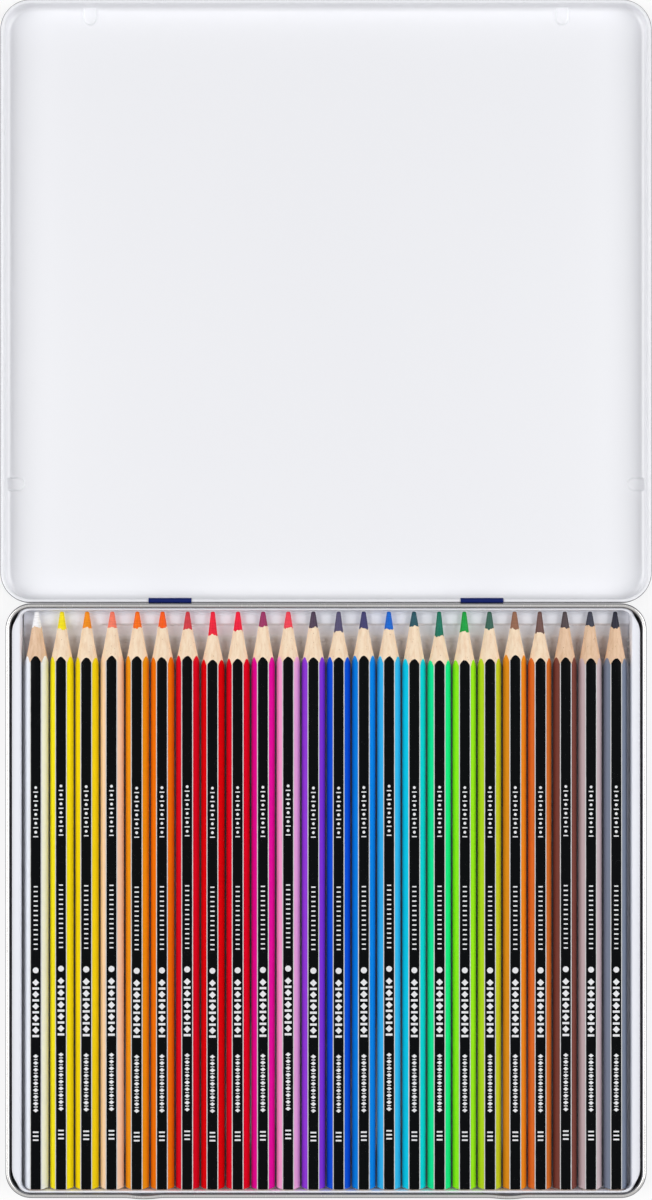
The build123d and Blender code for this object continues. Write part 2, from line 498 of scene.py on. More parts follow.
@dataclass(frozen=True)
class FormedPlastic:
    """White formed sheet with a soft gloss."""

    tint: Colour = (0.88, 0.89, 0.95)
    cloud_tone: float = 0.93
    cloud_scale: Point = (45, 20, 45)
    dimple_scale: Point = (260, 260, 260)
    dimple_depth: float = 0.02
    roughness: float = 0.34
    cloud_roughness: float = 0.12
    specular: float = 0.3
    glow_weight: float = 0.1
    glow_radius: float = 2.0
    glow_scale: float = 0.3

    def material(self) -> Material:
        """Build the material.

        Returns:
            The finished material.
        """
        paint = Paint("white_formed_plastic")
        cloud = paint.noise(self.cloud_scale)
        return paint.surface(
            Base_Color=paint.mix(cloud, self.tint, toned(self.tint, self.cloud_tone)),
            Roughness=cloud * self.cloud_roughness + self.roughness,
            Normal=paint.bump(paint.noise(self.dimple_scale), self.dimple_depth),
            Specular_IOR_Level=self.specular,
            Subsurface_Weight=self.glow_weight,
            Subsurface_Radius=(self.glow_radius * MM,) * 3,
            Subsurface_Scale=self.glow_scale,
        )


@dataclass(frozen=True)
class BarrelLacquer:
    """Glossy lacquer on a hexagonal barrel: black and coloured faces by turns, and pale edge lines
    that are partly thin stripes on the barrel and partly a painted highlight on the rounded edges.

    The flat map counts the faces across, so that every odd face is black.
    """

    name: str
    tint: Colour
    black: Colour = (0.0015, 0.002, 0.0025)
    # Pale edge line: partly a thin stripe, partly painted highlight of the rounded edges.
    line: Colour = (0.62, 0.62, 0.63)
    dust: Colour = (0.30, 0.30, 0.32)
    face_width: float = 3.6
    line_width: float = 0.32
    line_fade: float = 0.08
    line_stray: float = 0.10
    stray_scale: Point = (1500, 500, 1500)
    dust_scale: Point = (2600, 1500, 2600)
    dust_size: float = 0.11
    dust_weight: float = 0.35
    dusty_scale: Point = (300, 300, 300)
    dusty_range: Flat = (0.50, 0.62)
    cloud_tone: float = 0.90
    cloud_scale: Point = (120, 30, 120)
    flow_scale: Point = (700, 120, 700)
    flow_depth: float = 0.004
    roughness: float = 0.26
    cloud_roughness: float = 0.10
    specular: float = 0.04
    hair: float = 0.001

    def material(self) -> Material:
        """Build the material.

        Returns:
            The finished material.
        """
        paint = Paint(f"{self.name}_barrel")
        faces = paint.axes(paint.node("ShaderNodeUVMap", {"uv_map": "UVMap"}))[0]
        across = faces % 1.0
        coloured = (faces % 2.0).ease(1 - self.hair, 1 + self.hair)
        from_edge = across.low(1 - across) * self.face_width
        stray = paint.noise(self.stray_scale) * self.line_stray - self.line_stray / 2
        # The pale edge lines, partly painted highlight on the rounded edges.
        line = (from_edge + stray).ease(self.line_width, self.line_width - self.line_fade)
        cloud = paint.noise(self.cloud_scale)
        dust = paint.specks(self.dust_scale, self.dust_size)
        dust = dust * paint.noise(self.dusty_scale, detail=1.0).ease(*self.dusty_range)
        tint = paint.mix(cloud, self.tint, toned(self.tint, self.cloud_tone))
        dark = paint.mix(dust * self.dust_weight, self.black, self.dust)
        return paint.surface(
            Base_Color=paint.mix(coloured, paint.mix(line, dark, self.line), tint),
            Roughness=cloud * self.cloud_roughness + self.roughness,
            Normal=paint.bump(paint.noise(self.flow_scale), self.flow_depth),
            Specular_IOR_Level=self.specular,
        )


@dataclass(frozen=True)
class CompositeWood:
    """Pale pressed wood with fine brown flecks."""

    name: str = "pale_wood"
    tint: Colour = (0.93, 0.75, 0.55)
    deep: Colour = (0.84, 0.61, 0.41)
    fleck: Colour = (0.42, 0.24, 0.13)
    grain_scale: Point = (1100, 160, 1100)
    grain_range: Flat = (0.35, 0.75)
    grain_depth: float = 0.03
    fleck_scale: Point = (1500, 900, 1500)
    fleck_size: float = 0.20
    fleck_weight: float = 0.8
    flecked_scale: Point = (700, 500, 700)
    flecked_range: Flat = (0.50, 0.62)
    roughness: float = 0.58
    grain_roughness: float = 0.15

    def material(self) -> Material:
        """Build the material.

        Returns:
            The finished material.
        """
        paint = Paint(self.name)
        grain = paint.noise(self.grain_scale, detail=4.0, rough=0.6)
        fleck = paint.specks(self.fleck_scale, self.fleck_size)
        fleck = fleck * paint.noise(self.flecked_scale).ease(*self.flecked_range)
        pale = paint.mix(grain.ease(*self.grain_range), self.tint, self.deep)
        return paint.surface(
            Base_Color=paint.mix(fleck * self.fleck_weight, pale, self.fleck),
            Roughness=grain * self.grain_roughness + self.roughness,
            Normal=paint.bump(grain, self.grain_depth),
        )


@dataclass(frozen=True)
class WaxyLead:
    """Coloured lead with fine turning marks from the sharpener."""

    name: str
    tint: Colour
    turning_tone: float = 0.72
    turning_scale: Point = (250, 2600, 250)
    turning_range: Flat = (0.35, 0.70)
    turning_weight: float = 0.6
    turning_depth: float = 0.012
    cloud_scale: Point = (500, 300, 500)
    roughness: float = 0.42
    cloud_roughness: float = 0.15
    specular: float = 0.2

    def material(self) -> Material:
        """Build the material.

        Returns:
            The finished material.
        """
        paint = Paint(f"{self.name}_lead")
        turning = paint.noise(self.turning_scale, detail=3.0, rough=0.6)
        cloud = paint.noise(self.cloud_scale, detail=3.0)
        mark = turning.ease(*self.turning_range) * self.turning_weight
        return paint.surface(
            Base_Color=paint.mix(mark, self.tint, toned(self.tint, self.turning_tone)),
            Roughness=cloud * self.cloud_roughness + self.roughness,
            Specular_IOR_Level=self.specular,
            Normal=paint.bump(turning, self.turning_depth),
        )


@dataclass(frozen=True)
class FoilPrint:
    """Pale foil pressed on the black lacquer, a little worn."""

    tint: Colour = (0.74, 0.74, 0.76)
    worn: Colour = (0.40, 0.40, 0.42)
    wear_scale: Point = (1800, 900, 1800)
    wear_range: Flat = (0.5, 0.8)
    wear_weight: float = 0.4
    roughness: float = 0.35
    wear_roughness: float = 0.2
    metallic: float = 0.1

    def material(self) -> Material:
        """Build the material.

        Returns:
            The finished material.
        """
        paint = Paint("pale_foil")
        wear = paint.noise(self.wear_scale, detail=3.0)
        mark = wear.ease(*self.wear_range) * self.wear_weight
        return paint.surface(
            Base_Color=paint.mix(mark, self.tint, self.worn),
            Roughness=wear * self.wear_roughness + self.roughness,
            Metallic=self.metallic,
        )


# Meshes


@dataclass
class Skin:
    """A mesh while it is put together, in millimetres."""

    points: list[Point] = field(default_factory=list)
    faces: list[tuple[int, ...]] = field(default_factory=list)
    paints: list[int] = field(default_factory=list)
    maps: list[Sequence[Flat] | None] = field(default_factory=list)

    def row(self, points: Sequence[Point]) -> list[int]:
        """Add points.

        Args:
            points: The points.

        Returns:
            Their numbers.
        """
        first = len(self.points)
        self.points.extend(points)
        return list(range(first, len(self.points)))

    def face(
        self, corners: Sequence[int], paint: int = 0, flat: Sequence[Flat] | None = None
    ) -> None:
        """Add one face.

        Args:
            corners: Its points, counter-clockwise seen from outside.
            paint: Its finish's number.
            flat: Its place on the piece's flat map.
        """
        self.faces.append(tuple(corners))
        self.paints.append(paint)
        self.maps.append(flat)

    def strip(self, first: Sequence[int], second: Sequence[int], paint: int = 0) -> None:
        """Join two rows of the same length, which run the same way."""
        for a, b, c, d in zip(first, first[1:], second[1:], second):
            self.face((a, b, c, d), paint)

    def piece(self, name: str, finishes: Sequence[Material], sharp: float = 40.0) -> Piece:
        """Turn the skin into an object in the shared frame.

        Args:
            name: The piece's name.
            finishes: Its materials, in the order of the paint numbers.
            sharp: Edges that turn by more than this many degrees stay sharp.

        Returns:
            The object, at the origin.
        """
        mesh = bpy.data.meshes.new(name)
        mesh.from_pydata([[c * MM for c in point] for point in self.points], [], self.faces)
        for finish in finishes:
            mesh.materials.append(finish)
        mesh.polygons.foreach_set("material_index", self.paints)
        mesh.polygons.foreach_set("use_smooth", [True] * len(self.faces))
        if any(self.maps):
            layer = mesh.uv_layers.new(name="UVMap")
            for polygon, flat in zip(mesh.polygons, self.maps):
                for loop, place in zip(polygon.loop_indices, flat or ()):
                    layer.uv[loop].vector = place
        mesh.set_sharp_from_angle(angle=math.radians(sharp))
        mesh.validate()
        return show(bpy.data.objects.new(name, mesh))


def show(piece: Piece) -> Piece:
    """Put an object into the scene."""
    bpy.context.scene.collection.objects.link(piece)
    return piece


def settle(piece: Piece, body: str, slot: str, *nodes: str) -> None:
    """Say what a finished piece rides on and stands for.

    Args:
        piece: The piece.
        body: The body that it moves with.
        slot: The name of the record's material slot for the piece. It is not used.
        nodes: The CAD nodes that it replaces.
    """
    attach(piece, body)
    if nodes:
        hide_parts(*nodes)
    log.info("%s rides on %s", piece.name, body)


@dataclass(frozen=True)
class RimPlace:
    """A place on a rim's line: its point and its outward direction."""

    x: float
    y: float
    out_x: float
    out_y: float

    def point(self, out: float, z: float) -> Point:
        """Return the point that lies out from the line, at height z."""
        return (self.x + out * self.out_x, self.y + out * self.out_y, z)


@dataclass(frozen=True)
class Rim:
    """A rounded rectangle that a wall follows."""

    half_x: float
    half_y: float
    corner: float
    centre_y: float = 0.0
    corner_steps: int = 18

    def places(self, marks: dict[Side, Sequence[float]]) -> list[RimPlace]:
        """Walk round the rim, counter-clockwise from the right side's front end.

        Args:
            marks: Extra places on each side, as x on the front and rear and y on the others.

        Returns:
            The places in order. The last one joins the first.
        """
        flat_x, flat_y = self.half_x - self.corner, self.half_y - self.corner
        corners = ((flat_x, flat_y), (-flat_x, flat_y), (-flat_x, -flat_y), (flat_x, -flat_y))
        walk = []
        for side, corner in zip(Side, corners):
            angle = math.pi / 2 * side.value
            out_x, out_y = round(math.cos(angle)), round(math.sin(angle))
            way = 1 if side in (Side.RIGHT, Side.FRONT) else -1
            for mark in sorted(marks.get(side, ()), key=lambda value: way * value):
                along = (mark, out_y * self.half_y)
                if out_x:
                    along = (out_x * self.half_x, mark)
                walk.append(RimPlace(along[0], along[1] + self.centre_y, out_x, out_y))
            for step in range(self.corner_steps + 1):
                turn = angle + math.pi / 2 * step / self.corner_steps
                place = (math.cos(turn), math.sin(turn))
                x = corner[0] + self.corner * place[0]
                y = corner[1] + self.corner * place[1] + self.centre_y
                walk.append(RimPlace(x, y, *place))
        return walk


def steps(low: float, high: float, spacing: float) -> list[float]:
    """Return evenly spaced values from low to high, both among them."""
    count = max(1, round((high - low) / spacing))
    return [low + (high - low) * n / count for n in range(count + 1)]


def arc(centre: Flat, radius: float, start: float, end: float, count: int) -> list[Flat]:
    """Return points along an arc, with angles in degrees."""
    angles = [math.radians(start + (end - start) * n / count) for n in range(count + 1)]
    return [(centre[0] + radius * math.cos(a), centre[1] + radius * math.sin(a)) for a in angles]


# Grown meshes


def geometry_recipe(
    name: str, inputs: dict[str, tuple[str, float | int]]
) -> tuple[Recipe, Node]:
    """Start a geometry tree with named inputs.

    Args:
        name: The tree's name.
        inputs: Each input's socket type and value by the input's name.

    Returns:
        The tree's recipe and its input node.
    """
    recipe = Recipe(bpy.data.node_groups.new(name, "GeometryNodeTree"))
    for key, (kind, value) in inputs.items():
        socket = recipe.tree.interface.new_socket(name=key, in_out="INPUT", socket_type=kind)
        socket.default_value = value
    recipe.tree.interface.new_socket(
        name="Geometry", in_out="OUTPUT", socket_type="NodeSocketGeometry"
    )
    return recipe, recipe.node("NodeGroupInput")


def finish_tree(recipe: Recipe, shape: Node, finish: Material) -> None:
    """End a geometry tree: make its instances real and give them their finish.

    Args:
        recipe: The tree's recipe.
        shape: The node whose geometry is kept.
        finish: The material.
    """
    whole = recipe.node("GeometryNodeRealizeInstances", None, {"Geometry": shape})
    dressed = {"Geometry": whole, "Material": finish}
    painted = recipe.node("GeometryNodeSetMaterial", None, dressed)
    recipe.node("NodeGroupOutput", None, {"Geometry": painted})


def grown(name: str, tree: Tree, values: dict[str, float | int], sharp: float) -> Piece:
    """Run a geometry tree once and keep its result as a plain mesh.

    Args:
        name: The piece's name.
        tree: The geometry tree.
        values: Input values by the input's name.
        sharp: Edges that turn by more than this many degrees stay sharp.

    Returns:
        The object, without a modifier.
    """
    piece = show(bpy.data.objects.new(name, bpy.data.meshes.new(name)))
    modifier = piece.modifiers.new("grow", "NODES")
    modifier.node_group = tree
    for item in tree.interface.items_tree:
        if item.in_out == "INPUT" and item.name in values:
            modifier[item.identifier] = values[item.name]
    bpy.context.view_layer.update()
    graph = bpy.context.evaluated_depsgraph_get()
    mesh = bpy.data.meshes.new_from_object(
        piece.evaluated_get(graph), preserve_all_data_layers=True, depsgraph=graph
    )
    piece.modifiers.remove(modifier)
    piece.data = mesh
    mesh.name = name
    mesh.polygons.foreach_set("use_smooth", [True] * len(mesh.polygons))
    mesh.set_sharp_from_angle(angle=math.radians(sharp))
    return piece


# The tin


@dataclass
class Pan:
    """A drawn sheet pan with a rolled rim.

    A section point is the distance out from the wall's inside and the height. The apron is the
    finely divided border of the panel, where pips may be pressed in.
    """

    rim: Rim
    foot_radius: float
    roll_radius: float
    roll_z: float
    apron: float = 0.0
    sheet: float = 0.3
    roll_steps: int = 26
    hidden_steps: int = 5
    foot_steps: int = 10
    apron_spacing: float = 0.17
    # Past this angle round the roll, the flank gets the dark painted shade.
    flank_angle: float = 60.0
    wall_paint: TinPaint = TinPaint.INSIDE

    @property
    def roll_end_angle(self) -> float:
        """The angle round the roll at which its end meets the wall's outside."""
        return -math.degrees(math.acos(self.sheet / self.roll_radius - 1))

    def foot(self, inset: float) -> list[Flat]:
        """Return a skin's line from the wall to the flat panel, with the panel's fine border.

        Args:
            inset: How far it lies inside the outer skin: 0, or the sheet's thickness.

        Returns:
            The points.
        """
        centre = (self.sheet - self.foot_radius, self.foot_radius)
        line = arc(centre, self.foot_radius - inset, 0, -90, self.foot_steps)
        if self.apron:
            rings = steps(0.0, self.apron, self.apron_spacing)[1:]
            line += [(centre[0] - ring, inset) for ring in rings]
        return line

    def section(self, window_z: float) -> tuple[list[Flat], list[Flat], list[Flat]]:
        """Return the inner skin, the roll and the outer skin.

        Args:
            window_z: A height at which both walls have a point.

        Returns:
            The inner skin from the panel up, the roll, and the outer skin down to the panel.
        """
        inner = self.foot(self.sheet)[::-1] + [(0.0, window_z)]
        outer = [(self.sheet, window_z)] + self.foot(0.0)
        centre = (self.roll_radius, self.roll_z)
        roll = arc(centre, self.roll_radius, 180, self.roll_end_angle, self.roll_steps)
        return inner, roll, outer

    def hidden_roll(self) -> list[Flat]:
        """Return the part of the roll that the wall covers, which a window lays bare."""
        centre = (self.roll_radius, self.roll_z)
        return arc(centre, self.roll_radius, self.roll_end_angle, -180, self.hidden_steps)[1:-1]

    def skin(
        self,
        places: Sequence[RimPlace],
        window_z: float,
        in_window: Callable[[RimPlace, RimPlace], bool],
        shaped: Callable[[Point, bool], Point],
    ) -> Skin:
        """Build the pan's closed skin.

        Args:
            places: The places round the rim.
            window_z: The lower edge of the wall's windows.
            in_window: Says whether the wall is open between two places.
            shaped: Moves a point of the inner skin (True) or the outer skin (False).

        Returns:
            The skin. The roll's crest is painted as the inside, and its outer flank gets the dark
            painted shade. Its inner flank is painted as the wall.
        """
        skin = Skin()
        inner, roll, outer = self.section(window_z)
        whole = inner + roll + outer
        rows = [
            skin.row([
                shaped(place.point(*flat), n < len(inner) + len(roll))
                for n, flat in enumerate(whole)
            ])
            for place in places
        ]
        roll_start, roll_end = len(inner), len(inner) + len(roll) - 1
        turn = (180 - self.roll_end_angle) / self.roll_steps
        crest_end = roll_start + int((180 - self.flank_angle) / turn) + 1
        crest_start = roll_start
        # A painted-shade wall darkens the roll's inner flank too, for the shade in the gap beside
        # it.
        if self.wall_paint is TinPaint.BARE:
            crest_start += int(self.flank_angle / turn)
        for place, following, row, other in zip(
            places, (*places[1:], places[0]), rows, (*rows[1:], rows[0])
        ):
            gap = 0 if in_window(place, following) else 1
            for first, last, paint in (
                (0, roll_start + gap, self.wall_paint),
                (roll_start, crest_start + 1, self.wall_paint),
                (crest_start, crest_end, TinPaint.INSIDE),
                # The roll's outer flank: dark painted shade for the shading line along the edge.
                (crest_end - 1, roll_end + 1, TinPaint.BARE),
                (roll_end + 1 - gap, len(whole), TinPaint.OUTSIDE),
            ):
                skin.strip(row[first:last], other[first:last], paint)
        self.close_windows(skin, places, rows, in_window)
        skin.face([row[0] for row in rows], TinPaint.INSIDE)
        skin.face([row[-1] for row in reversed(rows)], TinPaint.OUTSIDE)
        return skin

    def close_windows(
        self,
        skin: Skin,
        places: Sequence[RimPlace],
        rows: Sequence[list[int]],
        in_window: Callable[[RimPlace, RimPlace], bool],
    ) -> None:
        """Close the cut edges of the wall and the roll at each window.

        Args:
            skin: The skin to close.
            places: The places round the rim.
            rows: The rows of points at these places.
            in_window: Says whether the wall is open between two places.
        """
        inner, roll, _ = self.section(0.0)
        sill_in, roll_start = len(inner) - 1, len(inner)
        roll_end = len(inner) + len(roll) - 1
        sill_out = roll_end + 1
        bare: dict[int, list[int]] = {}
        count = len(places)
        for n in range(count):
            following = (n + 1) % count
            if not in_window(places[n], places[following]):
                continue
            for m in (n, following):
                if m not in bare:
                    bare[m] = skin.row([places[m].point(*flat) for flat in self.hidden_roll()])
            near = [rows[n][roll_end], *bare[n], rows[n][roll_start]]
            far = [rows[following][roll_end], *bare[following], rows[following][roll_start]]
            skin.strip(near, far)
            sill = (rows[following][sill_in], rows[n][sill_in])
            skin.face((*sill, rows[n][sill_out], rows[following][sill_out]))
            for m, before in ((n, (n - 1) % count), (following, (following + 1) % count)):
                if in_window(*sorted((places[m], places[before]), key=lambda p: p.x)):
                    continue
                jamb = [rows[m][sill_in], rows[m][roll_start], *bare[m][::-1]]
                jamb += [rows[m][roll_end], rows[m][sill_out]]
                skin.face(jamb if m == n else jamb[::-1])


@dataclass
class BaseTin:
    """The base: a bright pan with a rolled rim, two snap bulges and two hinge tongues."""

    width: float = 194.0
    length: float = 180.0
    height: float = 7.6
    corner: float = 7.8
    roll_radius: float = 0.68
    foot_radius: float = 1.2
    bulge_x: float = 55.0
    bulge_half: float = 6.5
    bulge_depth: float = 0.4
    bulge_low_z: float = 4.6
    bulge_spacing: float = 0.5
    tongue_x: float = HINGE_X
    tongue_half: float = 6.5
    tongue_sheet: float = 0.25
    tongue_inner: float = 0.70
    tongue_end: float = 120.0
    tongue_steps: int = 40
    pivot: Flat = (90.7, 5.0)

    def bulged(self, point: Point, _inside: bool) -> Point:
        """Push the front rim out at the two bulges.

        Args:
            point: The point.
            _inside: True for the inner skin, which moves as the outer one does.

        Returns:
            The moved point.
        """
        x, y, z = point
        near = min(abs(x - side * self.bulge_x) for side in (-1, 1)) / self.bulge_half
        if y > -self.length / 4 or near >= 1:
            return point
        swell = math.cos(math.pi / 2 * near) ** 2
        swell *= smooth_step(self.bulge_low_z, self.height - self.roll_radius, z)
        return (x, y - self.bulge_depth * swell, z)

    def build_pan(self, finishes: Sequence[Material]) -> None:
        """Build the pan.

        Args:
            finishes: The finish inside, outside, and the dark painted shade on the roll's flank
                and the inner wall.
        """
        roll = 2 * self.roll_radius
        rim = Rim(self.width / 2 - roll, self.length / 2 - roll, self.corner - roll)
        roll_z = self.height - self.roll_radius
        # The base's inner wall and foot, and its roll's inner flank, get dark painted shade for
        # the gap beside the tray.
        pan = Pan(rim, self.foot_radius, self.roll_radius, roll_z, wall_paint=TinPaint.BARE)
        marks = [
            side * self.bulge_x + offset
            for side in (-1, 1)
            for offset in steps(-self.bulge_half, self.bulge_half, self.bulge_spacing)
        ]
        skin = pan.skin(
            rim.places({Side.FRONT: marks}), self.bulge_low_z, lambda *_: False, self.bulged
        )
        settle(skin.piece("base_pan", finishes), "base", "bright_tinplate", "base_tin")

    def build_tongue(self, side: int, inside: Material, outside: Material) -> None:
        """Build one tongue, from the base's roll down and round the lid's roll.

        Args:
            side: -1 for the left one and 1 for the right one.
            inside: The finish towards the lid's roll.
            outside: The finish outside.
        """
        outer_radius = self.tongue_inner + self.tongue_sheet
        top_z = self.height - self.roll_radius
        outer = [(self.pivot[0] - outer_radius, top_z)]
        end, count = 360 + self.tongue_end, self.tongue_steps
        outer += arc(self.pivot, outer_radius, 180, end, count)
        inner = arc(self.pivot, self.tongue_inner, end, 180, count)
        inner += [(self.pivot[0] - self.tongue_inner, top_z)]
        section = outer + inner
        skin = Skin()
        centre = side * self.tongue_x
        rows = [
            skin.row([(centre + x, y, z) for y, z in section])
            for x in (-self.tongue_half, self.tongue_half)
        ]
        for n in range(len(section)):
            after = (n + 1) % len(section)
            corners = (rows[0][n], rows[0][after], rows[1][after], rows[1][n])
            skin.face(corners, TinPaint.OUTSIDE if n < len(outer) else TinPaint.INSIDE)
        skin.face(rows[0][::-1], TinPaint.OUTSIDE)
        skin.face(rows[1], TinPaint.OUTSIDE)
        name = "hinge_tongue_left" if side < 0 else "hinge_tongue_right"
        settle(skin.piece(name, (inside, outside)), "base", "bright_tinplate", "base_tin")

    def build(self, finishes: Sequence[Material]) -> None:
        """Build the pan and both tongues.

        Args:
            finishes: The finish inside, outside, and the dark painted shade on the roll's flank
                and the inner wall.
        """
        self.build_pan(finishes)
        for side in (-1, 1):
            self.build_tongue(side, *finishes[:2])


@dataclass
class Lid:
    """The lid, open and inside up: a white pan with windows and shallow pips."""

    half_x: float = 97.6
    rear_y: float = 91.3
    front_y: float = 272.0
    depth: float = 5.0
    corner: float = 8.0
    roll_radius: float = 0.6
    foot_radius: float = 1.9
    flank_angle: float = 52.0
    apron: float = 5.2
    window_x: float = HINGE_X
    window_half: float = 7.5
    window_spacing: float = 3.0
    sill_z: float = 3.9
    pip_x: float = 93.95
    pip_side_y: float = 126.3
    pip_front_x: float = 72.0
    pip_front_y: float = 268.35
    pip_radii: Flat = (1.6, 2.2)
    pip_height: float = 0.6
    pip_border: float = 0.4
    pip_spacing: float = 0.17
    sheet: float = 0.3

    def pips(self) -> list[tuple[float, float, float, float]]:
        """Lay out the four pips.

        Returns:
            For each pip, its x and y and the way to its wall.
        """
        return [
            place
            for side in (-1, 1)
            for place in (
                (side * self.pip_x, self.pip_side_y, side, 0.0),
                (side * self.pip_front_x, self.pip_front_y, 0.0, 1.0),
            )
        ]

    def pressed(self, point: Point, inside: bool) -> Point:
        """Raise a point where a pip is pressed in, which runs out into the wall's foot.

        Args:
            point: The point.
            inside: True for the inner skin.

        Returns:
            The moved point.
        """
        x, y, z = point
        for pip_x, pip_y, way_x, way_y in self.pips():
            along = (x - pip_x) * way_x + (y - pip_y) * way_y
            across = (x - pip_x) * way_y + (y - pip_y) * way_x
            rise = 1 - smooth_step(*self.pip_radii, math.hypot(min(along, 0.0), across))
            if rise > 0:
                return (x, y, max(z, self.sheet * inside + self.pip_height * rise))
        return point

    def open_wall(self, place: RimPlace, following: RimPlace) -> bool:
        """Say whether the wall is cut away for a tongue.

        Args:
            place: A place on the rim.
            following: The next one.

        Returns:
            True if the wall is open between them.
        """
        middle = (place.x + following.x) / 2
        rear = max(place.out_y, following.out_y) < 0
        return rear and abs(abs(middle) - self.window_x) < self.window_half

    def build(self, finishes: Sequence[Material]) -> None:
        """Build the lid.

        Args:
            finishes: The finish inside, outside, and the dark painted shade on the roll's outer
                flank.
        """
        centre_y = (self.rear_y + self.front_y) / 2
        rim = Rim(self.half_x, (self.front_y - self.rear_y) / 2, self.corner, centre_y)
        pan = Pan(
            rim, self.foot_radius, self.roll_radius, self.depth, self.apron,
            flank_angle=self.flank_angle,
        )
        reach = self.pip_radii[1] + self.pip_border
        offsets = steps(-reach, reach, self.pip_spacing)
        windows = steps(-self.window_half, self.window_half, self.window_spacing)
        at_side = [self.pip_side_y - centre_y + offset for offset in offsets]
        marks = {
            Side.RIGHT: at_side,
            Side.LEFT: at_side,
            Side.REAR: [side * self.pip_front_x + o for side in (-1, 1) for o in offsets],
            Side.FRONT: [side * self.window_x + w for side in (-1, 1) for w in windows],
        }
        skin = pan.skin(rim.places(marks), self.sill_z, self.open_wall, self.pressed)
        settle(skin.piece("lid_pan", finishes), "lid", "white_lacquered_tin", "lid")


# The tray


